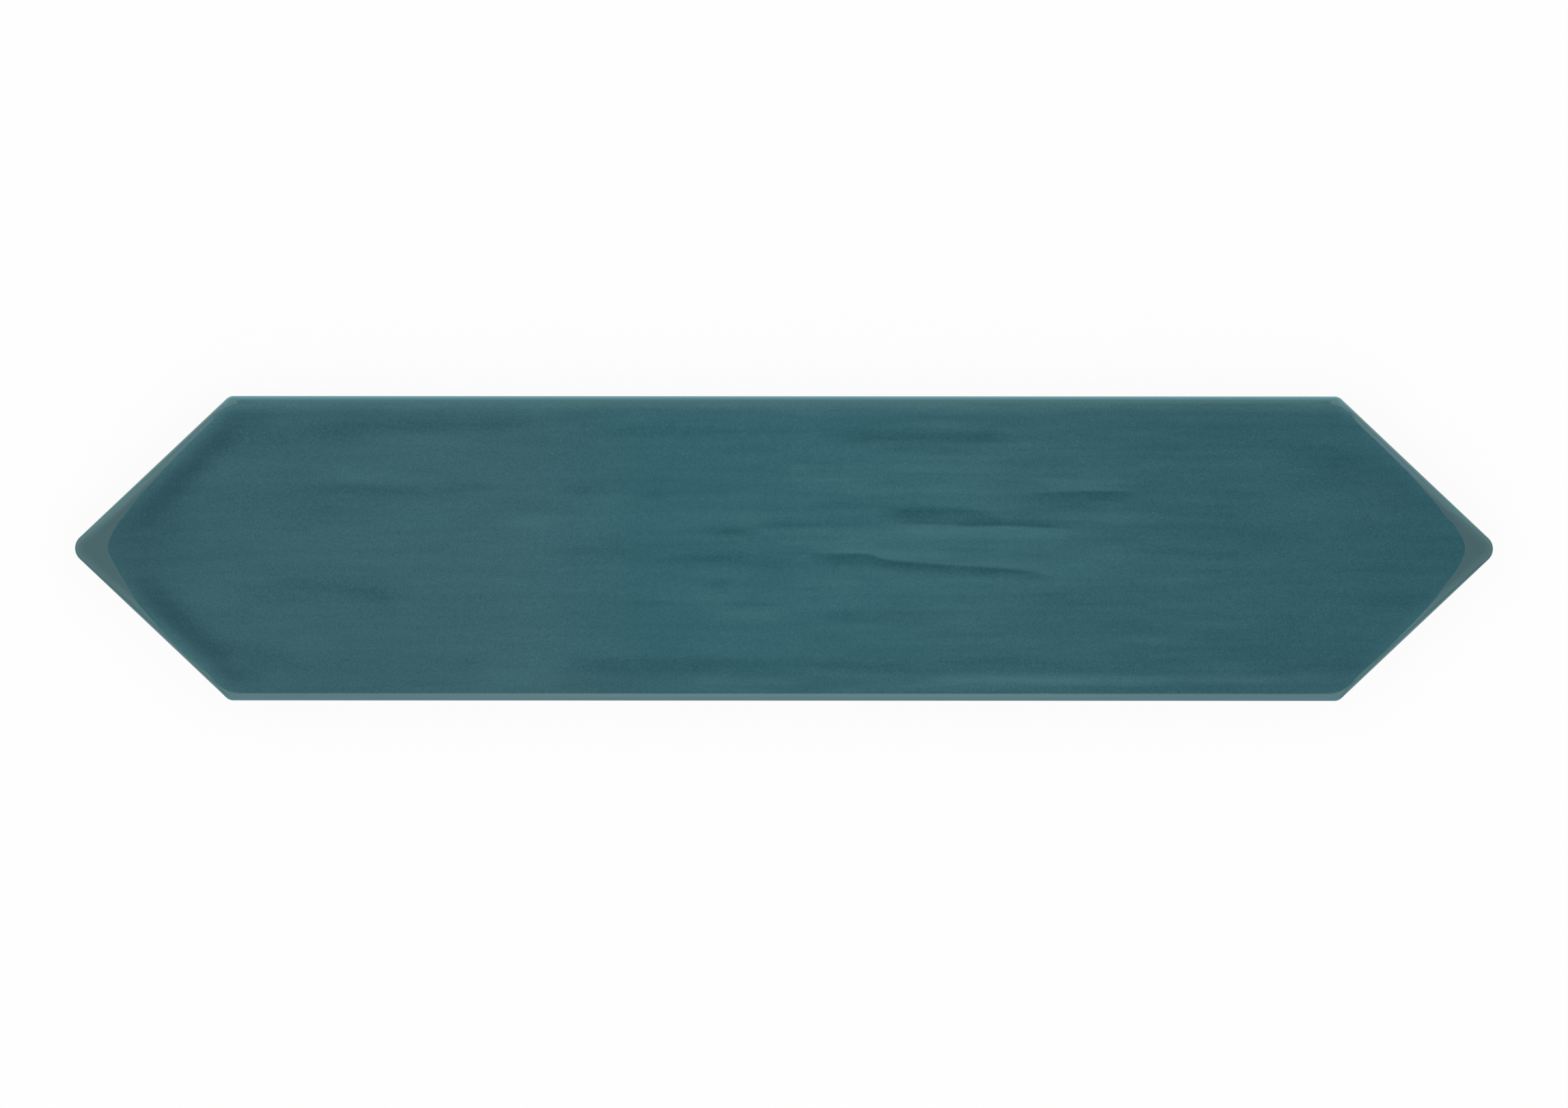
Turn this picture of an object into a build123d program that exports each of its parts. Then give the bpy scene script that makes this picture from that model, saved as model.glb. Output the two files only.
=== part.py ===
from build123d import *
import os
from math import floor, radians, sin, tan

# Picket wall tile, pressed and fired as one piece, lying on its back with the glazed face up.
# All lengths are in millimetres and all angles in degrees.

# Outline
LENGTH = 302.5  # over the two blunt tips
WIDTH = 65.0  # across the long sides
THICKNESS = 8.5  # back to glazed face
POINT_ANGLE = 86.8  # between the two slanted sides at a tip
TIP_RADIUS = 3.2  # blunt tips, seen from above
SHOULDER_RADIUS = 2.3  # where a slanted side meets a long side, seen from above

# Rolled edge round the face
FACE_INSET = 1.6  # from a long side's wall to the rim of the face
TIP_ROLL = 6.4  # from a blunt tip to the rim of the face
FACE_ANGLE = 92.5  # point of the face, blunter than the outline's, so the roll widens towards a tip
FACE_TIP_RADIUS = 10.5  # seen from above
FACE_SHOULDER_RADIUS = 8.0  # seen from above
EDGE_DROP = 1.6  # from the face down to the top of a side wall
ROLL_STEPS = 4  # levels that shape the roll
ROLL_SPACING = 0.6  # below one, the levels draw closer together towards the face

# Keyed back
BACK_CHAMFER = 0.6  # lower arris
BACK_MARGIN = 4.0  # plain border round the grooves
GROOVE_PITCH = 9.5
GROOVE_WIDTH = 5.0  # at the mouth
GROOVE_DEPTH = 0.7
GROOVE_DRAFT = 20.0  # lean of a groove's walls
GROOVE_CORNER = 1.0  # plan radius of a groove's corners

# Sizes that follow from those above
half_point = radians(POINT_ANGLE / 2)
sharp_tip = LENGTH / 2 + TIP_RADIUS * (1 / sin(half_point) - 1)
wall_height = THICKNESS - EDGE_DROP
groove_tip = sharp_tip - BACK_MARGIN / sin(half_point)
# grooves come in pairs, which leaves a land along the centre line
groove_pairs = floor((WIDTH / 2 - BACK_MARGIN) / GROOVE_PITCH)


def picket(height, length, width, point_angle, tip_radius, shoulder_radius):
    """Picket with rounded corners at a height, sized over its blunt tips and its long sides."""
    half_width = width / 2
    half_angle = radians(point_angle / 2)
    tip = length / 2 + tip_radius * (1 / sin(half_angle) - 1)
    shoulder = tip - half_width / tan(half_angle)
    with BuildSketch(Plane.XY.offset(height)) as section:
        with BuildLine():
            FilletPolyline(
                (shoulder, half_width),
                (-shoulder, half_width),
                (-tip, 0),
                (-shoulder, -half_width),
                (shoulder, -half_width),
                (tip, 0),
                radius=(
                    shoulder_radius,
                    shoulder_radius,
                    tip_radius,
                    shoulder_radius,
                    shoulder_radius,
                    tip_radius,
                ),
                close=True,
            )
        make_face()
    return section.sketch


def between(wall, face, share):
    """Value part of the way from the side wall's to the face's."""
    return wall + (face - wall) * share


def roll_level(step):
    """One level of the roll, a parabola that leaves the side wall upright."""
    rise = (step / ROLL_STEPS) ** ROLL_SPACING
    share = rise**2
    return picket(
        wall_height + EDGE_DROP * rise,
        LENGTH - 2 * TIP_ROLL * share,
        WIDTH - 2 * FACE_INSET * share,
        between(POINT_ANGLE, FACE_ANGLE, share),
        between(TIP_RADIUS, FACE_TIP_RADIUS, share),
        between(SHOULDER_RADIUS, FACE_SHOULDER_RADIUS, share),
    )


with BuildPart() as tile:
    # upright body with its lower arris taken off
    extrude(
        picket(0, LENGTH, WIDTH, POINT_ANGLE, TIP_RADIUS, SHOULDER_RADIUS),
        amount=wall_height,
    )
    chamfer(tile.faces().sort_by(Axis.Z)[0].edges(), BACK_CHAMFER)

    # roll from the side walls in to the face
    loft(sections=[roll_level(step) for step in range(ROLL_STEPS + 1)])

    # lengthwise grooves in the back, ending at one margin from the slanted sides
    with BuildSketch() as grooves:
        for pair in range(groove_pairs):
            near = GROOVE_PITCH * pair + (GROOVE_PITCH - GROOVE_WIDTH) / 2
            far = near + GROOVE_WIDTH
            near_end = groove_tip - near / tan(half_point)
            far_end = groove_tip - far / tan(half_point)
            with BuildLine():
                FilletPolyline(
                    (near_end, near),
                    (far_end, far),
                    (-far_end, far),
                    (-near_end, near),
                    radius=GROOVE_CORNER,
                    close=True,
                )
            make_face()
        mirror(about=Plane.XZ)
    extrude(amount=GROOVE_DEPTH, taper=GROOVE_DRAFT, mode=Mode.SUBTRACT)

tile.part.label = "tile"
os.makedirs("parts", exist_ok=True)
export_step(tile.part, "parts/tile.step")
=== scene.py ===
"""Picket wall tile: one pressed, glazed and fired piece, lying face up under an overhead camera."""

import logging
import math
from dataclasses import astuple, dataclass, field, replace
from enum import Enum
from typing import Any

import bpy
import numpy as np
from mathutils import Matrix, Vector
from mathutils.geometry import delaunay_2d_cdt


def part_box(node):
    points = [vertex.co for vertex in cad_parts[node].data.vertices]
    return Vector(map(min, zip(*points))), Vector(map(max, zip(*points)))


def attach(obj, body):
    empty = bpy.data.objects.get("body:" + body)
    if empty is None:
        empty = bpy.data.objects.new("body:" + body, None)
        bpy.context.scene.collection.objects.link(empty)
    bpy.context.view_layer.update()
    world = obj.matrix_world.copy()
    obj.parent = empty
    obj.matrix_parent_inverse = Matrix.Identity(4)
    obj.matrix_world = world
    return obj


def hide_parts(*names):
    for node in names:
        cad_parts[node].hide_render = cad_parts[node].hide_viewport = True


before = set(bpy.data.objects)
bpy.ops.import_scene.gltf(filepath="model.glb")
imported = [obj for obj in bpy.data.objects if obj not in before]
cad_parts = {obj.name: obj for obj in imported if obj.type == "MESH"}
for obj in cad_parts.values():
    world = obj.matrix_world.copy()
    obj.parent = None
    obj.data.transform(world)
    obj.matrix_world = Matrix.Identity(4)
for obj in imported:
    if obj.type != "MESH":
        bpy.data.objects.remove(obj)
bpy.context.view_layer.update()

log = logging.getLogger("picket_tile")
Colour = tuple[float, float, float]  # red, green and blue on screen, 0 to 255
Span = tuple[float, float]  # where a soft step is zero, and where it is one

MM = 0.001  # every size of the tile is written in millimetres
TILE_NODE = "tile"
TILE_BODY = "root"

# what each point of the tile holds for its relief and its finish
REACH = "reach"  # distance in from the rim of the face, below zero outside it
BRINK = "brink"  # distance from the side walls
TONE = "tone"  # how thin the glaze lies, below zero where it pools; it also holds painted shade in the crease hollows and painted light on their banks


def linear(red: float, green: float, blue: float) -> tuple[float, float, float, float]:
    """Turns a screen colour, 0 to 255, into the linear colour that a socket takes.

    Args:
        red: Red on screen.
        green: Green on screen.
        blue: Blue on screen.

    Returns:
        Linear red, green and blue with an alpha of one.
    """

    def channel(level: float) -> float:
        """Undoes the screen curve for one channel.

        Args:
            level: The channel on screen.

        Returns:
            The linear channel.
        """
        share = level / 255
        if share <= 0.04045:
            return share / 12.92
        return ((share + 0.055) / 1.055) ** 2.4

    return (channel(red), channel(green), channel(blue), 1.0)


class Value:
    """A number in a node tree, which Python's operators turn into Math nodes."""

    def __init__(self, bench: "NodeBench", socket: bpy.types.NodeSocket) -> None:
        """Wraps an output socket of a tree."""
        self.bench = bench
        self.socket = socket

    def math(self, operation: str, *terms: Any) -> "Value":
        """Adds one Math node.

        Args:
            operation: The Math node's operation.
            terms: Its inputs in order, as values or numbers.

        Returns:
            The node's result.
        """
        inputs = dict(enumerate(terms))
        node = self.bench.add("ShaderNodeMath", {"operation": operation}, inputs)
        return Value(self.bench, node.outputs[0])

    def __add__(self, other: Any) -> "Value":
        """Sum."""
        return self.math("ADD", self, other)

    __radd__ = __add__

    def __mul__(self, other: Any) -> "Value":
        """Product."""
        return self.math("MULTIPLY", self, other)

    __rmul__ = __mul__

    def __sub__(self, other: Any) -> "Value":
        """Difference."""
        return self.math("SUBTRACT", self, other)

    def __rsub__(self, other: Any) -> "Value":
        """Difference from a number."""
        return self.math("SUBTRACT", other, self)

    def __truediv__(self, other: Any) -> "Value":
        """Quotient."""
        return self.math("DIVIDE", self, other)

    def __neg__(self) -> "Value":
        """Opposite."""
        return self.math("MULTIPLY", self, -1.0)

    def __abs__(self) -> "Value":
        """Size without sign."""
        return self.math("ABSOLUTE", self)

    def squared(self) -> "Value":
        """Product with itself."""
        return self.math("MULTIPLY", self, self)

    def sign(self) -> "Value":
        """Minus one, zero or one."""
        return self.math("SIGN", self)

    def bell(self, centre: float, spread: float) -> "Value":
        """One at a centre, falling off on both sides.

        Args:
            centre: Where the bell stands.
            spread: Distance at which it has fallen to about a third.

        Returns:
            The bell's height.
        """
        away = (self - centre) / spread
        return self.math("EXPONENT", -away.squared())

    def ease(self, low: float, high: float) -> "Value":
        """Zero up to one limit and one from the other, with a soft step between.

        Args:
            low: Where the step is zero.
            high: Where it is one, above or below low.

        Returns:
            The step, from zero to one.
        """
        rising = high > low
        inputs = {
            "Value": self,
            "From Min": low if rising else high,
            "From Max": high if rising else low,
            "To Min": 0.0 if rising else 1.0,
            "To Max": 1.0 if rising else 0.0,
        }
        node = self.bench.add("ShaderNodeMapRange", {"interpolation_type": "SMOOTHSTEP"}, inputs)
        return Value(self.bench, node.outputs["Result"])


@dataclass(frozen=True)
class Pattern:
    """Smooth noise: the size of its patches, its octaves of finer noise, its seed and its strength."""

    cell: tuple[float, float, float]
    detail: float
    seed: float
    strength: float = 1.0


class NodeBench:
    """A node tree under construction."""

    def __init__(self, tree: bpy.types.NodeTree) -> None:
        """Takes a tree over and empties it.

        Args:
            tree: The tree.
        """
        self.tree = tree
        self.identifiers: dict[str, str] = {}
        tree.nodes.clear()

    def add(
        self,
        kind: str,
        settings: dict[str, Any] | None = None,
        inputs: dict[str | int, Any] | None = None,
    ) -> bpy.types.Node:
        """Adds a node.

        Args:
            kind: The node's type.
            settings: Its properties, set first. A ramp's stops come as "stops",
                a curve's points as "points".
            inputs: Values or links by socket name or number.

        Returns:
            The node.
        """
        node = self.tree.nodes.new(kind)
        for name, setting in (settings or {}).items():
            if name == "stops":
                self._set_stops(node.color_ramp, setting)
            elif name == "points":
                self._set_points(node.mapping, setting)
            else:
                setattr(node, name, setting)
        for key, given in (inputs or {}).items():
            socket = node.inputs[key]
            if isinstance(given, Value):
                self.tree.links.new(given.socket, socket)
            elif isinstance(given, bpy.types.NodeSocket):
                self.tree.links.new(given, socket)
            else:
                socket.default_value = given
        return node

    def value(
        self,
        kind: str,
        output: str | int,
        settings: dict[str, Any] | None = None,
        inputs: dict[str | int, Any] | None = None,
    ) -> Value:
        """Adds a node and wraps one of its outputs.

        Args:
            kind: The node's type.
            output: The output's name or number.
            settings: As in add.
            inputs: As in add.

        Returns:
            The wrapped output.
        """
        return Value(self, self.add(kind, settings, inputs).outputs[output])

    def axes(self, vector: Value) -> tuple[Value, Value, Value]:
        """Splits a vector into its three numbers."""
        node = self.add("ShaderNodeSeparateXYZ", None, {0: vector})
        return tuple(Value(self, output) for output in node.outputs)

    def noise(self, point: Value, pattern: Pattern) -> Value:
        """Smooth noise about zero.

        Args:
            point: Where to read it, in the unit of the pattern's patches.
            pattern: Which noise.

        Returns:
            Noise from about minus a half to a half, times the pattern's strength.
        """
        scale = {"operation": "MULTIPLY_ADD"}
        shares = {0: point, 1: tuple(1 / size for size in pattern.cell), 2: (pattern.seed,) * 3}
        spot = self.value("ShaderNodeVectorMath", 0, scale, shares)
        inputs = {"Vector": spot, "Scale": 1.0, "Detail": pattern.detail}
        noise = self.value("ShaderNodeTexNoise", 0, None, inputs) - 0.5
        return noise * pattern.strength

    def mix(self, share: Value, first: Any, second: Any) -> Value:
        """Mixes two colours.

        Args:
            share: How much of the second shows.
            first: Colour or link.
            second: Colour or link.

        Returns:
            The mixed colour.
        """
        node = self.add("ShaderNodeMix", {"data_type": "RGBA"}, {0: share, 6: first, 7: second})
        return Value(self, node.outputs[2])

    def group_inputs(self, sockets: dict[str, str]) -> dict[str, Value]:
        """Gives a geometry tree its named inputs.

        Args:
            sockets: Socket type by name.

        Returns:
            Each input's value inside the tree, by name.
        """
        for name, kind in sockets.items():
            item = self.tree.interface.new_socket(name, in_out="INPUT", socket_type=kind)
            self.identifiers[name] = item.identifier
        node = self.tree.nodes.new("NodeGroupInput")
        return {name: Value(self, node.outputs[name]) for name in sockets}

    def group_output(self, geometry: Value) -> None:
        """Ends a geometry tree.

        Args:
            geometry: What the tree gives.
        """
        self.tree.interface.new_socket("Geometry", in_out="OUTPUT", socket_type="NodeSocketGeometry")
        node = self.tree.nodes.new("NodeGroupOutput")
        self.tree.links.new(geometry.socket, node.inputs[0])

    @staticmethod
    def _set_stops(ramp: bpy.types.ColorRamp, stops: list[tuple[float, tuple]]) -> None:
        """Fills a colour ramp.

        Args:
            ramp: The ramp.
            stops: Positions and colours from left to right.
        """
        while len(ramp.elements) < len(stops):
            ramp.elements.new(1.0)
        for element, (position, colour) in zip(ramp.elements, stops):
            element.position = position
            element.color = colour

    @staticmethod
    def _set_points(mapping: bpy.types.CurveMapping, points: list[tuple[float, float]]) -> None:
        """Fills a curve.

        Args:
            mapping: The curve's mapping.
            points: Its points from left to right.
        """
        curve = mapping.curves[0]
        curve.points[0].location = points[0]
        curve.points[1].location = points[-1]
        for point in points[1:-1]:
            curve.points.new(*point)
        mapping.update()


class Corner(Enum):
    """Corners of the picket, anticlockwise from the right tip, as (x sign, y sign)."""

    RIGHT_TIP = (1, 0)
    UPPER_RIGHT = (1, 1)
    UPPER_LEFT = (-1, 1)
    LEFT_TIP = (-1, 0)
    LOWER_LEFT = (-1, -1)
    LOWER_RIGHT = (1, -1)


@dataclass(frozen=True)
class Picket:
    """A rounded picket seen from above, sized over its blunt tips and its long sides."""

    length: float
    width: float
    point_angle: float
    tip_radius: float
    shoulder_radius: float

    LONG_CUTS = 260
    SLANT_CUTS = 56
    TIP_CUTS = 28
    SHOULDER_CUTS = 12

    @property
    def slant(self) -> float:
        """Angle between a slanted side and the length, in radians."""
        return math.radians(self.point_angle / 2)

    @property
    def sharp_tip(self) -> float:
        """X at which the slanted sides would meet."""
        return self.length / 2 + self.tip_radius * (1 / math.sin(self.slant) - 1)

    def toward(self, other: "Picket", share: float) -> "Picket":
        """Blends two pickets.

        Args:
            other: The second picket.
            share: How much of it shows.

        Returns:
            The picket between.
        """
        pairs = zip(astuple(self), astuple(other))
        return Picket(*(mine + (theirs - mine) * share for mine, theirs in pairs))

    def inset(self, depth: float) -> "Picket":
        """Moves every side in.

        Args:
            depth: How far.

        Returns:
            The smaller picket.
        """
        return replace(
            self,
            length=self.length - 2 * depth,
            width=self.width - 2 * depth,
            tip_radius=self.tip_radius - depth,
            shoulder_radius=self.shoulder_radius - depth,
        )

    def ring(self, height: float) -> np.ndarray:
        """Points round the picket, in the same order for every picket.

        Args:
            height: Z of the ring.

        Returns:
            Points as rows of x, y and z.
        """
        rise = math.pi / 2 - self.slant
        tip = self.sharp_tip - self.tip_radius / math.sin(self.slant)
        half_width = self.width / 2 - self.shoulder_radius
        shoulder = self.sharp_tip - self.shoulder_radius / math.sin(self.slant)
        shoulder -= half_width / math.tan(self.slant)
        facing = [
            -rise,
            rise,
            math.pi / 2,
            math.pi - rise,
            math.pi + rise,
            1.5 * math.pi,
            2 * math.pi - rise,
        ]
        arcs = []
        for corner, first, last in zip(Corner, facing, facing[1:]):
            across, up = corner.value
            centre = np.array([across * (shoulder if up else tip), up * half_width])
            turn = np.linspace(first, last, (self.SHOULDER_CUTS if up else self.TIP_CUTS) + 1)
            radius = self.shoulder_radius if up else self.tip_radius
            arcs.append(centre + radius * np.column_stack([np.cos(turn), np.sin(turn)]))
        points = []
        for corner, arc, after in zip(Corner, arcs, arcs[1:] + arcs[:1]):
            long_side = corner in (Corner.UPPER_RIGHT, Corner.LOWER_LEFT)
            cuts = self.LONG_CUTS if long_side else self.SLANT_CUTS
            steps = np.linspace(0, 1, cuts + 1)[1:-1, None]
            points += [arc, arc[-1] + (after[0] - arc[-1]) * steps]
        flat = np.vstack(points)
        return np.column_stack([flat, np.full(len(flat), height)])


class Loop:
    """A closed ring of points, measured against other points from above."""

    BLOCK = 4000  # points measured at a time

    def __init__(self, ring: np.ndarray) -> None:
        """Keeps a ring's x and y."""
        self.points = ring[:, :2]

    def inward(self) -> np.ndarray:
        """Works out which way is in.

        Returns:
            Unit vectors that point into the loop, one for each of its points.
        """
        along = np.roll(self.points, -1, axis=0) - np.roll(self.points, 1, axis=0)
        along /= np.linalg.norm(along, axis=1)[:, None]
        return np.column_stack([-along[:, 1], along[:, 0]])

    def holds(self, points: np.ndarray) -> np.ndarray:
        """Tells which points lie inside.

        Args:
            points: Rows that start with x and y.

        Returns:
            True for each point inside.
        """
        ring = self.points[np.argsort(self.points[:, 0])]
        upper, lower = ring[ring[:, 1] >= 0], ring[ring[:, 1] <= 0]
        above = points[:, 1] < np.interp(points[:, 0], upper[:, 0], upper[:, 1])
        below = points[:, 1] > np.interp(points[:, 0], lower[:, 0], lower[:, 1])
        within = (points[:, 0] > ring[0, 0]) & (points[:, 0] < ring[-1, 0])
        return above & below & within

    def distance(self, points: np.ndarray) -> np.ndarray:
        """Distance from points to the loop.

        Args:
            points: Rows that start with x and y.

        Returns:
            One distance for each point.
        """
        found = []
        for block in np.array_split(points[:, :2], max(1, len(points) // self.BLOCK)):
            gap = ((block[:, None] - self.points[None]) ** 2).sum(axis=2)
            near = gap.argmin(axis=1)
            sides = [self._to_side(block, near - step) for step in (0, 1)]
            found.append(np.minimum(*sides))
        return np.concatenate(found)

    def _to_side(self, points: np.ndarray, first: np.ndarray) -> np.ndarray:
        """Distance from points to one side of the loop each.

        Args:
            points: Rows of x and y.
            first: Number of the ring's point at which each side starts.

        Returns:
            One distance for each point.
        """
        start = self.points[first]
        run = self.points[(first + 1) % len(self.points)] - start
        share = np.clip(((points - start) * run).sum(axis=1) / (run**2).sum(axis=1), 0, 1)
        return np.linalg.norm(points - start - share[:, None] * run, axis=1)


# distances from the tile's axis at which the rim of the face was measured
RIM_STATIONS = (0.0, 4.0, 7.0, 11.0, 16.0, 22.0, 28.0, 30.8)
# how far each slant's rim strays inwards there, by (x sign, y sign)
RIM_STRAYS = {
    (-1, 1): (0.5, 1.2, 1.3, 0.6, 0.45, 0.4, 0.7, 0.0),
    (-1, -1): (0.5, 1.6, 1.4, 0.0, -0.4, -0.3, 0.4, 0.0),
    (1, 1): (-0.5, 0.3, 0.9, 0.4, 0.15, 0.4, 0.8, 0.0),
    (1, -1): (-0.5, 0.4, 0.65, -0.15, -0.2, -0.1, 0.5, 0.0),
}


@dataclass(frozen=True)
class RolledEdge:
    """The roll from the side walls in to the face, narrow along the sides and wide at the tips."""

    face_inset: float = 1.6
    tip_roll: float = 6.4
    face_angle: float = 92.5
    face_tip_radius: float = 10.5
    face_shoulder_radius: float = 8.0
    drop: float = 1.6
    steps: int = 12
    softening: int = 11

    def face(self, outline: Picket) -> Picket:
        """Draws the face inside the roll.

        Args:
            outline: The tile's outline.

        Returns:
            The face's outline.
        """
        return Picket(
            outline.length - 2 * self.tip_roll,
            outline.width - 2 * self.face_inset,
            self.face_angle,
            self.face_tip_radius,
            self.face_shoulder_radius,
        )

    def rings(self, outline: Picket, thickness: float) -> list[np.ndarray]:
        """Rings of the roll, from the top of the side walls to the rim of the face.

        Args:
            outline: The tile's outline.
            thickness: Height of the face.

        Returns:
            One ring for each step.
        """
        face = self.face(outline)
        rim = face.ring(thickness)
        sway = Loop(rim).inward() * self._sway(rim)[:, None]
        found = []
        for rise in np.linspace(0, 1, self.steps + 1):
            ring = outline.toward(face, rise**2).ring(thickness - self.drop * (1 - rise))
            ring[:, :2] += sway * rise**2
            found.append(ring)
        return found

    def _sway(self, rim: np.ndarray) -> np.ndarray:
        """How far the hand-finished rim strays inwards from the drawn one.

        Args:
            rim: Points of the drawn rim.

        Returns:
            One distance for each point.
        """
        sway = np.zeros(len(rim))
        for (across, up), strays in RIM_STRAYS.items():
            here = (rim[:, 0] * across > 0) & (rim[:, 1] * up >= 0)
            sway[here] = np.interp(np.abs(rim[here, 1]), RIM_STATIONS, strays)
        soft = np.hanning(self.softening)
        around = np.pad(sway, self.softening // 2, mode="wrap")
        return np.convolve(around, soft / soft.sum(), mode="valid")


@dataclass(frozen=True)
class SideWall:
    """The upright sides down to the softened lower arris."""

    chamfer: float = 0.6
    steps: int = 6

    def rings(self, outline: Picket, top: float) -> list[np.ndarray]:
        """Rings of the wall, from the back up to just below its top.

        Args:
            outline: The tile's outline.
            top: Height at which the roll begins.

        Returns:
            The ring of the back first, then the wall's own rings.
        """
        heights = np.linspace(self.chamfer, top, self.steps + 1)[:-1]
        return [outline.inset(self.chamfer).ring(0.0), *(outline.ring(height) for height in heights)]


@dataclass(frozen=True)
class KeyedBack:
    """Lengthwise grooves that give the adhesive its grip."""

    pairs: int = 3
    pitch: float = 9.5
    width: float = 5.0
    depth: float = 0.7
    draft: float = 20.0
    corner: float = 1.0
    corner_cuts: int = 5
    margin: float = 4.0
    overshoot: float = 1.0
    weld: float = 0.01

    def inputs(self, outline: Picket) -> dict[str, tuple[str, Any]]:
        """Named inputs of the geometry tree, in metres.

        Args:
            outline: The tile's outline, which the grooves keep their margin from.

        Returns:
            Socket type and value by name.
        """
        tip = outline.sharp_tip - self.margin / math.sin(outline.slant)
        length = "NodeSocketFloat"
        return {
            "Groove Count": ("NodeSocketInt", 2 * self.pairs),
            "Groove Pitch": (length, self.pitch * MM),
            "Groove Width": (length, self.width * MM),
            "Groove Depth": (length, self.depth * MM),
            "Groove Corner": (length, self.corner * MM),
            "Groove Reach": (length, 2 * tip * MM),
            "Groove Lean": (length, math.tan(math.radians(self.draft))),
            "End Slant": (length, 1 / math.tan(outline.slant)),
        }

    def cut(self, bench: NodeBench, given: dict[str, Value], body: Value) -> Value:
        """Cuts the grooves out of the back.

        Args:
            bench: The geometry tree.
            given: Its inputs by name.
            body: Geometry of the tile.

        Returns:
            The tile with its grooves.
        """
        outline = bench.value(
            "GeometryNodeCurvePrimitiveQuadrilateral",
            0,
            None,
            {"Width": given["Groove Reach"], "Height": given["Groove Width"]},
        )
        rounded = bench.value(
            "GeometryNodeFilletCurve",
            0,
            {"mode": "POLY"},
            {"Curve": outline, "Radius": given["Groove Corner"], "Count": self.corner_cuts},
        )
        mouth = bench.value("GeometryNodeFillCurve", 0, {"mode": "NGONS"}, {"Curve": rounded})
        below = (0.0, 0.0, -self.overshoot * MM)
        low = bench.value("GeometryNodeTransform", 0, None, {"Geometry": mouth, "Translation": below})
        rise = given["Groove Depth"] + self.overshoot * MM
        raised = bench.add("GeometryNodeExtrudeMesh", None, {"Mesh": low, "Offset Scale": rise})
        lid = bench.value("GeometryNodeFlipFaces", 0, None, {"Mesh": low})
        joined = bench.add("GeometryNodeJoinGeometry", None, {0: Value(bench, raised.outputs[0])})
        bench.tree.links.new(lid.socket, joined.inputs[0])
        welded = {"Geometry": Value(bench, joined.outputs[0]), "Distance": self.weld * MM}
        bar = bench.value("GeometryNodeMergeByDistance", 0, None, welded)
        first = (given["Groove Count"] - 1) * given["Groove Pitch"] * -0.5
        start = bench.value("ShaderNodeCombineXYZ", 0, None, {"Y": first})
        step = bench.value("ShaderNodeCombineXYZ", 0, None, {"Y": given["Groove Pitch"]})
        row = bench.value(
            "GeometryNodeMeshLine",
            0,
            None,
            {"Count": given["Groove Count"], "Start Location": start, "Offset": step},
        )
        placed = bench.value("GeometryNodeInstanceOnPoints", 0, None, {"Points": row, "Instance": bar})
        bars = bench.value("GeometryNodeRealizeInstances", 0, None, {0: placed})
        x, y, z = bench.axes(bench.value("GeometryNodeInputPosition", 0))
        lean = z * given["Groove Lean"]
        back = abs(y) * given["End Slant"] + lean
        shear = bench.value("ShaderNodeCombineXYZ", 0, None, {"X": -back * x.sign()})
        bars = bench.value("GeometryNodeSetPosition", 0, None, {"Geometry": bars, "Offset": shear})
        return bench.value(
            "GeometryNodeMeshBoolean",
            0,
            {"operation": "DIFFERENCE", "solver": "MANIFOLD"},
            {"Mesh 1": body, "Mesh 2": bars},
        )


@dataclass(frozen=True)
class Streak:
    """A soft lengthwise streak where the glaze is thicker or thinner than elsewhere."""

    left: float
    right: float
    left_y: float
    right_y: float
    spread: float
    tone: float

    LONGEST_FADE = 9.0
    FADE_SHARE = 0.45

    def trace(self, x: Value, y: Value) -> Value:
        """Tone of the streak.

        Args:
            x: Along the tile.
            y: Across it.

        Returns:
            Tone, below zero where glaze is thick.
        """
        fade = min(self.LONGEST_FADE, (self.right - self.left) * self.FADE_SHARE)
        lean = (self.right_y - self.left_y) / (self.right - self.left)
        middle = (x - self.left) * lean + self.left_y
        begun = x.ease(self.left - fade / 2, self.left + fade)
        window = begun * x.ease(self.right + fade / 2, self.right - fade)
        return (y - middle).bell(0.0, self.spread) * window * self.tone


class Side(Enum):
    """Side of its line on which a crease is hollow and takes its painted shade, as the sign of y."""

    ABOVE = 1.0
    BELOW = -1.0


@dataclass(frozen=True)
class Crease:
    """A fold in the clay: a clean edge with a dark hollow of painted shade on one side and a pale bank of
    painted light on the other.
    """

    path: tuple[tuple[float, float], ...]
    hollow: float
    side: Side
    depth: float
    bank: float = 0.0
    bank_spread: float = 2.6
    softness: float = 0.35
    fade: float = 0.3

    LEAST_RISE = 1.0

    def trace(self, x: Value, y: Value) -> Value:
        """Tone of the crease.

        Args:
            x: Along the tile.
            y: Across it.

        Returns:
            Tone, below zero in the hollow, where shade is painted, and above zero on the bank, where light
            is painted.
        """
        left, right = self.path[0][0], self.path[-1][0]
        low = min(point[1] for point in self.path)
        high = max(max(point[1] for point in self.path), low + self.LEAST_RISE)
        points = [((px - left) / (right - left), (py - low) / (high - low)) for px, py in self.path]
        along = (x - left) / (right - left)
        curve = x.bench.value("ShaderNodeFloatCurve", 0, {"points": points}, {"Value": along})
        line = curve * (high - low) + low
        away = (y - line) * self.side.value
        step = away.ease(-self.softness, self.softness)
        window = along.ease(0.0, self.fade) * along.ease(1.0, 1.0 - self.fade)
        # the hollow side: lower in the relief, and darkened as painted shade
        hollow = step * away.bell(0.0, self.hollow) * -self.depth
        # the bank on the other side: higher in the relief, and paled as painted light
        bank = (1.0 - step) * away.bell(0.0, self.bank_spread) * self.bank
        return (hollow + bank) * window


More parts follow.
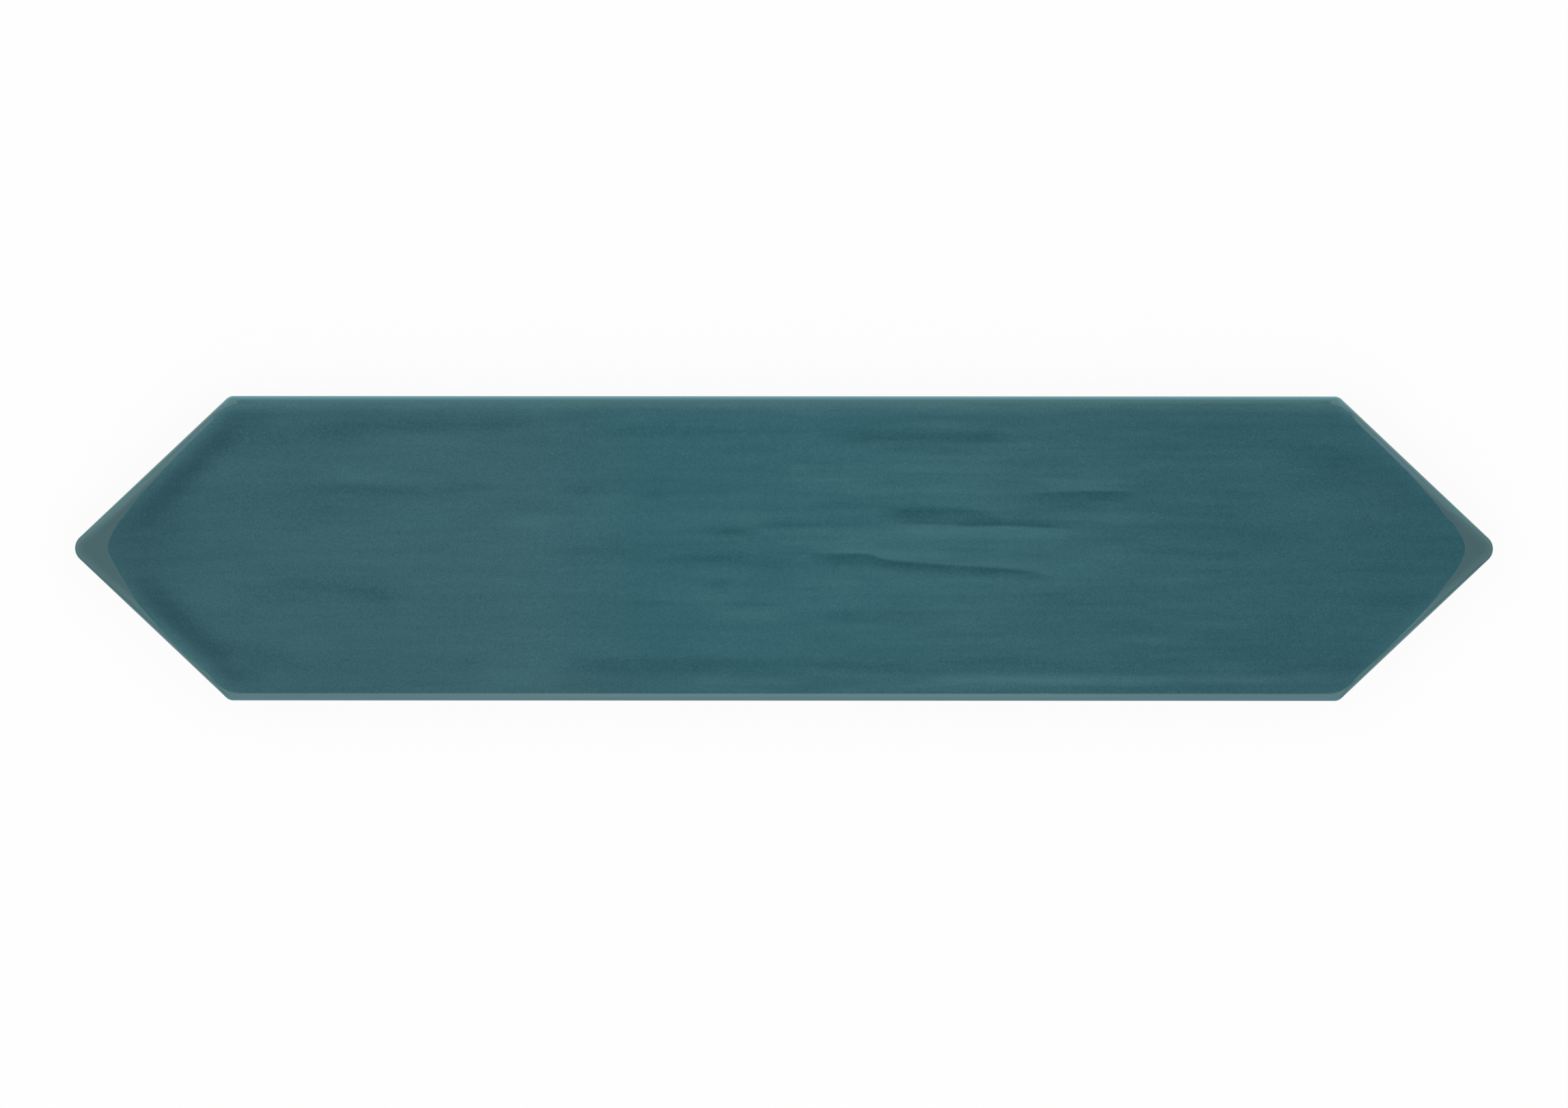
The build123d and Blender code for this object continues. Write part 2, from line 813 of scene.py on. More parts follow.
CREASES = (
    # the short lens above, right of the middle
    Crease(
        ((48.0, 11.5), (57.0, 12.1), (66.0, 12.3), (79.0, 11.4)),
        hollow=2.8,
        side=Side.BELOW,
        depth=0.7,
        bank=0.4,
        bank_spread=2.8,
        fade=0.35,
    ),
    # the deep shadow that rises over the long line
    Crease(
        ((19.0, 8.2), (28.0, 8.7), (34.0, 8.7), (40.0, 8.2), (48.0, 6.8)),
        hollow=2.1,
        side=Side.BELOW,
        depth=1.0,
        softness=0.7,
    ),
    # the long line, faint at first
    Crease(
        ((-8.0, 4.5), (6.0, 4.6), (16.0, 4.5), (25.0, 4.8)),
        hollow=1.8,
        side=Side.ABOVE,
        depth=0.45,
        softness=0.45,
    ),
    # and then with a pale bank
    Crease(
        ((20.0, 4.9), (34.0, 5.1), (40.0, 4.8), (46.0, 4.9), (52.0, 4.7), (64.0, 4.0)),
        hollow=1.8,
        side=Side.ABOVE,
        depth=0.65,
        bank=0.5,
        bank_spread=2.0,
        softness=0.45,
        fade=0.25,
    ),
    # the lower fold, which falls to the right
    Crease(
        (
            (2.0, -0.7),
            (10.0, -1.1),
            (16.5, -1.1),
            (22.5, -2.5),
            (34.0, -3.4),
            (45.0, -4.1),
            (51.0, -4.7),
            (60.0, -6.6),
        ),
        hollow=1.8,
        side=Side.BELOW,
        depth=0.9,
        bank=0.35,
        bank_spread=2.4,
        softness=0.45,
        fade=0.17,
    ),
)

# from left to right: both ends in x, the y at each end, spread and tone
STREAKS = (
    # short dark smears left of the creases, and the pale ones among them
    Streak(-17.0, -6.5, 3.6, 3.6, 0.8, -0.5),
    Streak(-24.0, -6.0, -2.0, -1.9, 1.0, -0.4),
    Streak(-17.0, -11.0, -7.6, -7.5, 0.7, -0.35),
    Streak(-33.0, -25.0, -11.7, -11.6, 0.8, -0.35),
    Streak(-12.5, 1.5, -11.9, -12.0, 0.9, -0.4),
    Streak(-32.5, -24.0, 11.3, 11.5, 1.0, -0.35),
    Streak(-50.0, -36.0, 12.6, 12.6, 1.6, -0.35),
    Streak(-52.0, -26.0, 0.5, -0.5, 2.6, -0.35),
    Streak(-17.0, 1.0, -14.6, -14.5, 1.7, 0.35),
    Streak(-26.0, -3.0, 6.6, 6.6, 1.6, 0.45),
    Streak(-66.0, -46.0, 5.4, 6.0, 1.8, 0.4),
    # the paler field in which the creases lie, and the dark and pale patches beside them
    Streak(0.0, 75.0, 3.0, 3.0, 14.0, 0.13),
    Streak(6.0, 32.0, 9.4, 9.6, 2.8, -0.35),
    Streak(-8.0, 18.0, -3.1, -3.3, 1.5, -0.3),
    Streak(0.0, 42.0, -6.4, -6.8, 1.3, 0.3),
    Streak(6.0, 42.0, -14.6, -14.2, 1.3, -0.35),
    Streak(14.0, 48.0, 16.6, 18.8, 2.2, 0.3),
    Streak(60.0, 76.0, 2.2, 1.8, 1.6, -0.35),
    Streak(52.0, 82.0, -10.2, -11.4, 1.6, -0.3),
    Streak(68.0, 92.0, 7.6, 5.0, 1.6, 0.3),
    # the ends of the left moat, and the smears beyond them
    Streak(-122.0, -88.0, 23.4, 24.2, 2.0, -0.4),
    Streak(-124.0, -102.0, -20.5, -25.0, 2.4, -0.45),
    Streak(-105.0, -71.0, 13.2, 12.0, 1.5, -0.35),
    Streak(-110.0, -81.0, -6.4, -10.7, 1.5, -0.35),
    Streak(-118.0, -78.0, -9.5, -12.0, 4.0, -0.2),
    Streak(-74.0, -62.0, 13.4, 13.0, 1.5, -0.4),
    Streak(-100.0, -78.0, 15.6, 15.2, 2.2, 0.35),
    # long ones beside the upper rim
    Streak(-118.0, -84.0, 28.6, 29.2, 1.5, -0.35),
    Streak(-105.0, -55.0, 26.0, 26.3, 1.8, -0.45),
    Streak(-66.0, -36.0, 27.6, 27.4, 1.6, -0.25),
    Streak(-42.0, -12.0, 25.4, 24.8, 1.6, -0.4),
    Streak(-18.0, 4.5, 24.9, 24.8, 1.7, -0.25),
    Streak(8.0, 50.0, 24.2, 24.1, 1.8, -0.4),
    # and beside the lower rim
    Streak(-84.0, -58.0, -23.6, -24.2, 1.4, -0.35),
    Streak(-48.0, 4.5, -25.0, -25.1, 1.7, -0.4),
    Streak(2.0, 32.0, -25.0, -25.0, 1.8, -0.45),
    Streak(33.0, 48.0, -24.8, -24.8, 1.5, -0.4),
    Streak(46.0, 86.0, -24.8, -24.6, 1.8, -0.3),
    Streak(70.0, 90.0, -21.4, -21.4, 1.2, -0.4),
    Streak(-24.0, 6.0, -28.2, -28.4, 1.1, 0.3),
    Streak(30.0, 81.0, -28.3, -28.2, 1.1, 0.6),
    Streak(76.0, 120.0, -28.2, -27.6, 1.2, 0.45),
    # broad dark patches at the right end
    Streak(104.0, 126.0, 21.0, 19.0, 2.4, -0.3),
    Streak(118.0, 141.0, -11.0, -11.0, 2.2, -0.3),
)


@dataclass(frozen=True)
class GlazeRelief:
    """The uneven fired face: broad waves, creases, and the moat where glaze pools inside the rim."""

    # heights
    wave_height: float = 0.08
    crease_height: float = 0.16
    moat_depth: float = 0.12
    sink: float = 0.2
    settle: float = 6.0
    # unevenness
    wave: Pattern = Pattern((46.0, 15.0, 60.0), 1.0, 4.0, 2.0)
    wander: Pattern = Pattern((16.0, 16.0, 60.0), 2.0, 10.0)
    moat_wander: float = 0.6
    crease_wander: float = 1.3
    # the moat inside the left slants
    moat_reach: float = 4.2
    moat_spread: float = 2.7
    moat_x: Span = (-106.0, -120.0)
    moat_y: Span = (2.0, 12.0)
    moat_tone: float = 0.75
    # the pale rims of the slants
    rim_spread: float = 1.6
    left_rim_middle: float = -129.0
    left_rim_length: float = 9.0
    left_rim_tone: float = 0.8
    right_rim_x: Span = (106.0, 114.0)
    right_rim_y: Span = (6.0, 16.0)
    right_rim_tone: float = 0.3
    # the darker ends
    left_end_x: Span = (-122.0, -137.0)
    left_end_y: Span = (-8.0, 6.0)
    left_end_tone: float = 0.26
    left_end_rise: float = 0.22
    right_end_x: Span = (40.0, 118.0)
    right_end_tone: float = 0.45
    # the pale rim of the upper side, on the face and on the roll
    upper_spread: float = 1.4
    upper_face_y: Span = (26.0, 30.0)
    upper_face_tone: float = 0.72
    upper_roll_reach: Span = (0.0, -0.5)
    upper_roll_y: Span = (29.0, 30.5)
    upper_roll_tone: float = 0.3
    # where the tone of the face ends
    face_reach: Span = (-0.6, 0.0)

    def inputs(self) -> dict[str, tuple[str, Any]]:
        """Named inputs of the geometry tree, in millimetres.

        Returns:
            Socket type and value by name.
        """
        return {
            "Wave Height": ("NodeSocketFloat", self.wave_height),
            "Crease Height": ("NodeSocketFloat", self.crease_height),
            "Moat Depth": ("NodeSocketFloat", self.moat_depth),
            "Sink": ("NodeSocketFloat", self.sink),
        }

    def lay(self, bench: NodeBench, given: dict[str, Value], body: Value) -> Value:
        """Moves the face up and down and notes where the glaze is thick, and where shade and light are
        painted along the creases.

        Args:
            bench: The geometry tree.
            given: Its inputs by name.
            body: Geometry of the tile, with each point's reach in from the rim of the face.

        Returns:
            The tile with its relief and a tone at each point, below zero where glaze pools and in the
            painted shade of the crease hollows.
        """
        place = bench.value("GeometryNodeInputPosition", 0)
        spot = bench.value("ShaderNodeVectorMath", 0, {"operation": "SCALE"}, {0: place, "Scale": 1 / MM})
        x, y, _ = bench.axes(spot)
        reach = bench.value("GeometryNodeInputNamedAttribute", 0, {"data_type": "FLOAT"}, {"Name": REACH})
        wander = bench.noise(spot, self.wander)
        moat = reach.bell(self.moat_reach, self.moat_spread) * x.ease(*self.moat_x)
        moat = moat * abs(y).ease(*self.moat_y) * (wander * self.moat_wander + 1.0)
        # the creases give both relief and tone: painted shade in their hollows and painted light on their
        # banks
        folds = sum((feature.trace(x, y) for feature in CREASES + STREAKS), start=0.0)
        folds = folds * (wander * self.crease_wander + 1.0)
        lift = bench.noise(spot, self.wave) * given["Wave Height"] - moat * given["Moat Depth"]
        lift = lift + folds * given["Crease Height"]
        lift = (lift - given["Sink"]) * reach.ease(0.0, self.settle)
        face = folds - moat * self.moat_tone + self._ends(x, y, reach)
        tone = face * reach.ease(*self.face_reach) + self._upper_rim(y, reach)
        offset = bench.value("ShaderNodeCombineXYZ", 0, None, {"Z": lift * MM})
        moved = bench.value("GeometryNodeSetPosition", 0, None, {"Geometry": body, "Offset": offset})
        return bench.value(
            "GeometryNodeStoreNamedAttribute",
            0,
            {"data_type": "FLOAT", "domain": "POINT"},
            {"Geometry": moved, "Name": TONE, "Value": tone},
        )

    def _ends(self, x: Value, y: Value, reach: Value) -> Value:
        """Tone of both ends of the face.

        Args:
            x: Along the tile.
            y: Across it.
            reach: Distance in from the rim.

        Returns:
            Tone, above zero beside the slants and below zero towards the tips.
        """
        rim = reach.bell(0.0, self.rim_spread)
        left_rim = rim * x.bell(self.left_rim_middle, self.left_rim_length) * self.left_rim_tone
        right_rim = rim * x.ease(*self.right_rim_x) * abs(y).ease(*self.right_rim_y) * self.right_rim_tone
        left_depth = y.ease(*self.left_end_y) * self.left_end_rise + self.left_end_tone
        right_end = x.ease(*self.right_end_x) * self.right_end_tone
        return left_rim + right_rim - x.ease(*self.left_end_x) * left_depth - right_end

    def _upper_rim(self, y: Value, reach: Value) -> Value:
        """Tone of the upper side's rim.

        Args:
            y: Across the tile.
            reach: Distance in from the rim.

        Returns:
            Tone, above zero along the rim.
        """
        inside = reach.math("MAXIMUM", reach, 0.0)
        on_face = inside.bell(0.0, self.upper_spread) * y.ease(*self.upper_face_y) * self.upper_face_tone
        on_roll = reach.ease(*self.upper_roll_reach) * y.ease(*self.upper_roll_y) * self.upper_roll_tone
        return on_face + on_roll


@dataclass(frozen=True)
class EdgeFinish:
    """Glaze over the rolled edge: grey at the tips, the right one darker with painted shade, a band on the
    slants, broken paler at the brink.
    """

    # the parts of the edge; a brink is a distance in from the side walls
    roll_reach: Span = (0.1, -0.3)
    wall_top_z: Span = (5.4, 6.9)
    right_x: Span = (-1.0, 1.0)
    upper_y: Span = (-2.0, 6.0)
    slanted_x: Span = (116.0, 124.0)
    upper_side_x: Span = (118.0, 111.0)
    upper_side_y: Span = (28.0, 30.0)
    lower_side_y: Span = (-28.0, -30.0)
    # the tips; the right one darker, its dark colour reaching further out, as painted shade
    left_tip: Colour = (39, 81, 85)
    shaded_right_tip: Colour = (35, 77, 82)
    tip_y: Span = (9.0, 4.0)
    tip_widening: float = 0.7
    tip_brink: Span = (1.0, 2.4)
    tip_share: float = 0.85
    # the slants
    band_brink: Span = (2.4, 1.2)
    upper_slant: Colour = (76, 117, 122)
    upper_slant_share: float = 0.45
    upper_lean_y: Span = (8.0, 20.0)
    upper_lean: float = 0.4
    lower_slant: Colour = (54, 93, 95)
    lower_shoulder: Colour = (69, 108, 111)
    lower_shoulder_y: Span = (-7.0, -20.0)
    lower_slant_share: float = 0.7
    # the long sides, the lower one near the middle and far from it
    upper_crest: Colour = (80, 119, 121)
    upper_crest_brink: Span = (0.7, 1.4)
    upper_crest_share: float = 0.8
    lower_crest: Colour = (77, 114, 119)
    lower_brink: Colour = (62, 105, 110)
    far_crest: Colour = (70, 106, 110)
    far_brink: Colour = (56, 106, 119)
    far_x: Span = (30.0, 95.0)
    ledge_brink: Span = (0.2, 1.3)
    # the arris, where the glaze breaks, and the lower slants, where it hardly does
    broken: Colour = (98, 141, 140)
    upper_broken: Colour = (110, 168, 178)
    upper_broken_y: Span = (30.0, 31.5)
    arris_brink: Span = (1.2, 0.0)
    arris_share: float = 0.6
    wall_share: float = 0.15
    unbroken_share: float = 0.8

    def lay(self, bench: NodeBench, spot: Value, glaze: Value) -> Value:
        """Lays the edge over the glaze.

        Args:
            bench: The material's tree.
            spot: Where to read it, in millimetres.
            glaze: Colour of the glaze elsewhere.

        Returns:
            The colour with the edge laid over it.
        """
        reach = bench.value("ShaderNodeAttribute", "Fac", {"attribute_name": REACH})
        brink = bench.value("ShaderNodeAttribute", "Fac", {"attribute_name": BRINK})
        x, y, z = bench.axes(spot)
        roll = reach.ease(*self.roll_reach)
        above_wall = z.ease(*self.wall_top_z)
        right = x.ease(*self.right_x)
        upper = y.ease(*self.upper_y)
        slanted = abs(x).ease(*self.slanted_x)
        upper_side = y.ease(*self.upper_side_y) * abs(x).ease(*self.upper_side_x)
        lower_side = y.ease(*self.lower_side_y) * (1.0 - slanted)
        # the tips, with painted shade making the right tip darker and spreading its dark colour further
        # over the outer ring
        tip = bench.mix(right, linear(*self.left_tip), linear(*self.shaded_right_tip))
        # painted shade: at the right tip the dark tip colour starts closer to the side wall
        tip_start = brink + abs(y).ease(*self.tip_y) * (right + self.tip_widening)
        colour = bench.mix(tip_start.ease(*self.tip_brink) * roll * self.tip_share, glaze, tip)
        # the slants
        band = roll * slanted * brink.ease(*self.band_brink)
        lean = (y.ease(*self.upper_lean_y) - 0.5) * right * self.upper_lean + self.upper_slant_share
        colour = bench.mix(band * upper * lean, colour, linear(*self.upper_slant))
        shoulder = y.ease(*self.lower_shoulder_y)
        lower_slant = bench.mix(shoulder, linear(*self.lower_slant), linear(*self.lower_shoulder))
        colour = bench.mix(band * (1.0 - upper) * self.lower_slant_share, colour, lower_slant)
        # the long sides
        crest = upper_side * roll * brink.ease(*self.upper_crest_brink) * self.upper_crest_share
        colour = bench.mix(crest, colour, linear(*self.upper_crest))
        far = abs(x).ease(*self.far_x)
        lower_crest = bench.mix(far, linear(*self.lower_crest), linear(*self.far_crest))
        lower_brink = bench.mix(far, linear(*self.lower_brink), linear(*self.far_brink))
        ledge = bench.mix(brink.ease(*self.ledge_brink), lower_brink, lower_crest)
        colour = bench.mix(lower_side * roll * above_wall, colour, ledge)
        # the arris
        broken = bench.mix(y.ease(*self.upper_broken_y), linear(*self.broken), linear(*self.upper_broken))
        arris = brink.ease(*self.arris_brink) * roll * (above_wall * self.arris_share + self.wall_share)
        unbroken = slanted * (1.0 - upper) * self.unbroken_share + lower_side
        return bench.mix(arris * (1.0 - unbroken), colour, broken)


@dataclass(frozen=True)
class GlazeFinish:
    """Glossy teal glaze that darkens where it pools, with painted shade in the crease hollows and painted
    light on their banks, over a pale biscuit body.
    """

    edge: EdgeFinish = EdgeFinish()
    # glaze that has pooled, lies evenly and has thinned
    teal: tuple[Colour, Colour, Colour] = ((36.5, 81, 90.5), (53.5, 97.5, 107), (69, 114, 121.5))
    greyed: tuple[Colour, Colour, Colour] = ((44, 80, 89.3), (58, 96.5, 104.3), (71, 113, 118.8))
    fleck: Colour = (150, 185, 188)
    # the bare body
    biscuit: Colour = (222, 212, 196)
    shaded_biscuit: Colour = (196, 184, 166)
    # gloss
    gloss: float = 0.06
    grain_gloss: float = 0.02
    biscuit_roughness: float = 0.72
    ior: float = 1.47
    bump_strength: float = 0.25
    bump_height: float = 0.02
    biscuit_bump: float = 4.0
    # patterns in the glaze, in millimetres
    grain: Pattern = Pattern((0.4, 0.4, 0.4), 1.0, 7.0)
    mottle: Pattern = Pattern((1.1, 0.9, 1.0), 2.0, 13.0, 0.4)
    streaks: Pattern = Pattern((22.0, 1.9, 4.0), 1.6, 3.0)
    clouds: Pattern = Pattern((30.0, 10.0, 12.0), 3.0, 11.0, 0.95)
    drift: Pattern = Pattern((45.0, 22.0, 20.0), 2.0, 17.0, 0.5)
    clusters: Pattern = Pattern((6.0, 5.0, 5.0), 0.0, 21.0)
    peel: Pattern = Pattern((3.2, 2.2, 3.2), 2.0, 5.0)
    # patterns in the body and along the line where the glaze ends
    speck: Pattern = Pattern((0.6, 0.6, 0.6), 2.0, 9.0)
    toast: Pattern = Pattern((34.0, 14.0, 12.0), 2.0, 25.0)
    toasted: Span = (-0.25, 0.4)
    ragged_line: Pattern = Pattern((5.0, 5.0, 5.0), 3.0, 2.0, 2.0)
    wavy_line: Pattern = Pattern((30.0, 30.0, 30.0), 1.0, 8.0, 2.6)
    bare_z: Span = (2.9, 2.4)
    # how grain and streaks count, and where the streaks are strongest
    graininess: float = 1.35
    least_streak: float = 0.5
    streaky_left: Span = (-60.0, 30.0)
    streaky_right: Span = (118.0, 78.0)
    # where the glaze has greyed
    grey_left: Span = (-28.0, -58.0)
    grey_right: Span = (10.0, 60.0)
    grey_right_share: float = 0.25
    grey_top: Span = (28.4, 30.4)
    grey_bottom: Span = (-23.0, -28.0)
    grey_bottom_share: float = 0.3
    # pinpricks for each millimetre, their size, and how many of them show
    pit_scale: float = 1.6
    pit_edge: Span = (0.16, 0.08)
    pit_chance: Span = (0.985, 0.99)
    cluster_edge: Span = (0.14, 0.24)
    cluster_chance: float = 0.55
    pit_strength: float = 0.3

    def material(self) -> bpy.types.Material:
        """Builds the material.

        Returns:
            The glaze and the bare body in one material.
        """
        made = bpy.data.materials.new("glaze_over_biscuit")
        made.use_nodes = True
        bench = NodeBench(made.node_tree)
        place = bench.value("ShaderNodeTexCoord", "Object")
        spot = bench.value("ShaderNodeVectorMath", 0, {"operation": "SCALE"}, {0: place, "Scale": 1 / MM})
        _, _, z = bench.axes(spot)
        grain = bench.noise(spot, self.grain)
        colour = self.edge.lay(bench, spot, self._glaze(bench, spot, grain))
        line = bench.noise(spot, self.ragged_line) + bench.noise(spot, self.wavy_line)
        bare = (z + line).ease(*self.bare_z)
        speck = bench.noise(spot, self.speck)
        toasted = (speck + bench.noise(spot, self.toast)).ease(*self.toasted)
        body = bench.mix(toasted, linear(*self.biscuit), linear(*self.shaded_biscuit))
        rough = bare * (self.biscuit_roughness - self.gloss) + self.gloss + grain * self.grain_gloss
        height = bench.noise(spot, self.peel) + speck * bare * self.biscuit_bump
        bump = bench.value(
            "ShaderNodeBump",
            0,
            None,
            {"Strength": self.bump_strength, "Distance": self.bump_height * MM, "Height": height},
        )
        shader = bench.value(
            "ShaderNodeBsdfPrincipled",
            0,
            None,
            {
                "Base Color": bench.mix(bare, colour, body),
                "Roughness": rough,
                "IOR": self.ior,
                "Normal": bump,
            },
        )
        bench.add("ShaderNodeOutputMaterial", None, {"Surface": shader})
        return made

    def _glaze(self, bench: NodeBench, spot: Value, grain: Value) -> Value:
        """Colour of the glaze by how thick it lies, with the painted shade and painted light of the
        creases.

        Args:
            bench: The material's tree.
            spot: Where to read it, in millimetres.
            grain: Fine grain about zero.

        Returns:
            The glaze's colour.
        """
        tone = bench.value("ShaderNodeAttribute", "Fac", {"attribute_name": TONE})
        x, y, _ = bench.axes(spot)
        streaky = x.ease(*self.streaky_left) * x.ease(*self.streaky_right)
        streaky = streaky * (1.0 - self.least_streak) + self.least_streak
        # the tone brings the painted shade of the crease hollows and the painted light of their banks into
        # the thickness
        thickness = tone + bench.noise(spot, self.streaks) * streaky + bench.noise(spot, self.clouds)
        thickness = thickness + bench.noise(spot, self.mottle) + grain * self.graininess
        grey = x.ease(*self.grey_left) + x.ease(*self.grey_right) * self.grey_right_share
        grey = grey + bench.noise(spot, self.drift) + y.ease(*self.grey_top)
        grey = grey + y.ease(*self.grey_bottom) * self.grey_bottom_share
        # the ramps run from a tone of minus one to a tone of one
        ramps = []
        for shades in (self.teal, self.greyed):
            stops = list(zip((0.0, 0.5, 1.0), (linear(*shade) for shade in shades)))
            ramps.append(bench.value("ShaderNodeValToRGB", 0, {"stops": stops}, {0: thickness * 0.5 + 0.5}))
        pricked = self._pinpricks(bench, spot) * self.pit_strength
        return bench.mix(pricked, bench.mix(grey, *ramps), linear(*self.fleck))

    def _pinpricks(self, bench: NodeBench, spot: Value) -> Value:
        """Tiny pale pits, most of them in small clusters.

        Args:
            bench: The material's tree.
            spot: Where to read them, in millimetres.

        Returns:
            One in a pit and zero elsewhere.
        """
        pits = bench.add("ShaderNodeTexVoronoi", None, {"Vector": spot, "Scale": self.pit_scale})
        chance = bench.axes(Value(bench, pits.outputs["Color"]))[0]
        cluster = bench.noise(spot, self.clusters).ease(*self.cluster_edge)
        chosen = (chance + cluster * self.cluster_chance).ease(*self.pit_chance)
        return Value(bench, pits.outputs["Distance"]).ease(*self.pit_edge) * chosen


@dataclass
class PicketTile:
    """The whole tile."""

    outline: Picket
    thickness: float
    edge: RolledEdge = field(default_factory=RolledEdge)
    wall: SideWall = field(default_factory=SideWall)
    back: KeyedBack = field(default_factory=KeyedBack)
    relief: GlazeRelief = field(default_factory=GlazeRelief)
    finish: GlazeFinish = field(default_factory=GlazeFinish)
    step_x: float = 1.0
    coarse_step: float = 0.5
    fine_step: float = 0.25
    fine_half_width: float = 15.0
    rim_gap: float = 0.4

    INSIDE_THE_BORDER = 1  # the part of a triangulation that is kept
    MERGE_DISTANCE = 1e-6
    ON_RIM = 1e-4
    SHARP_ANGLE = 38.0

    def build(self) -> bpy.types.Object:
        """Makes the piece that stands for the tile.

        Returns:
            The finished object, which rides on the tile's body.
        """
        blank = self._blank()
        tree = bpy.data.node_groups.new("fired_tile", "GeometryNodeTree")
        bench = NodeBench(tree)
        sockets = {
            "Blank": ("NodeSocketGeometry", None),
            "Glaze": ("NodeSocketMaterial", self.finish.material()),
            **self.back.inputs(self.outline),
            **self.relief.inputs(),
        }
        given = bench.group_inputs({name: kind for name, (kind, _) in sockets.items()})
        keyed = self.back.cut(bench, given, given["Blank"])
        fired = self.relief.lay(bench, given, keyed)
        whole = bench.value("GeometryNodeRealizeInstances", 0, None, {0: fired})
        dressed = {"Geometry": whole, "Material": given["Glaze"]}
        bench.group_output(bench.value("GeometryNodeSetMaterial", 0, None, dressed))
        modifier = blank.modifiers.new("fired_tile", "NODES")
        modifier.node_group = tree
        for name, (_, setting) in sockets.items():
            if setting is not None:
                modifier[bench.identifiers[name]] = setting
        piece = self._baked(blank, "glazed_tile")
        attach(piece, TILE_BODY)
        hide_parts(TILE_NODE)
        return piece

    def _blank(self) -> bpy.types.Object:
        """Makes the plain closed tile.

        Returns:
            The tile, with each point's distance from the rim of the face and from the side walls.
        """
        roll = self.edge.rings(self.outline, self.thickness)
        rings = self.wall.rings(self.outline, self.thickness - self.edge.drop) + roll
        count = len(rings[0])
        rim = Loop(roll[-1])
        points = np.vstack([*rings, self._face_points(rim)])
        faces = [tuple(range(count))[::-1]]
        for low in range(0, (len(rings) - 1) * count, count):
            for here in range(count):
                after = (here + 1) % count
                faces.append((low + here, low + after, low + count + after, low + count + here))
        first = (len(rings) - 1) * count
        border = [(here, (here + 1) % count) for here in range(count)]
        flat = [Vector(point[:2]) for point in points[first:]]
        laid = delaunay_2d_cdt(flat, border, [], self.INSIDE_THE_BORDER, self.MERGE_DISTANCE)
        triangles, sources = laid[2], laid[3]
        faces += [tuple(first + sources[corner][0] for corner in triangle) for triangle in triangles]
        reach = rim.distance(points)
        reach[:first] *= -1.0
        reach[first : first + count] = 0.0
        mesh = bpy.data.meshes.new("blank")
        mesh.from_pydata(points * MM, [], faces)
        for name, held in ((REACH, reach), (BRINK, Loop(rings[1]).distance(points))):
            mesh.attributes.new(name, "FLOAT", "POINT").data.foreach_set("value", held.astype(np.float32))
        blank = bpy.data.objects.new("blank", mesh)
        bpy.context.scene.collection.objects.link(blank)
        return blank

    def _face_points(self, rim: Loop) -> np.ndarray:
        """Points of the flat face clear of its rim, in closer rows where the creases lie.

        Args:
            rim: Rim of the face.

        Returns:
            Rows of x, y and z.
        """
        half_x = int(self.outline.length / 2 / self.step_x)
        fine = np.arange(0.0, self.fine_half_width, self.fine_step)
        coarse = np.arange(self.fine_half_width, self.outline.width / 2, self.coarse_step)
        upper = np.concatenate([fine, coarse])
        rows = np.concatenate([-upper[:0:-1], upper])
        x, y = np.meshgrid(np.arange(-half_x, half_x + 1) * self.step_x, rows)
        grid = np.column_stack([x.ravel(), y.ravel(), np.full(x.size, self.thickness)])
        grid = grid[rim.holds(grid)]
        return grid[rim.distance(grid) > self.rim_gap]

    def _baked(self, source: bpy.types.Object, name: str) -> bpy.types.Object:
        """Turns an object's evaluated modifiers into a plain mesh.

        Args:
            source: The object, which is removed.
            name: Name of the new piece.

        Returns:
            The new piece, smooth but for its sharp edges and the rim of its face.
        """
        evaluated = source.evaluated_get(bpy.context.evaluated_depsgraph_get())
        mesh = bpy.data.meshes.new_from_object(evaluated)
        mesh.name = name
        bpy.data.objects.remove(source)
        mesh.shade_smooth()
        mesh.set_sharp_from_angle(angle=math.radians(self.SHARP_ANGLE))
        reach = np.zeros(len(mesh.vertices), dtype=np.float32)
        mesh.attributes[REACH].data.foreach_get("value", reach)
        ends = np.zeros(2 * len(mesh.edges), dtype=np.int32)
        mesh.edges.foreach_get("vertices", ends)
        on_rim = (np.abs(reach[ends.reshape(-1, 2)]) < self.ON_RIM).all(axis=1)
        sharp = np.zeros(len(mesh.edges), dtype=bool)
        mesh.attributes["sharp_edge"].data.foreach_get("value", sharp)
        mesh.attributes["sharp_edge"].data.foreach_set("value", sharp | on_rim)
        piece = bpy.data.objects.new(name, mesh)
        bpy.context.scene.collection.objects.link(piece)
        return piece


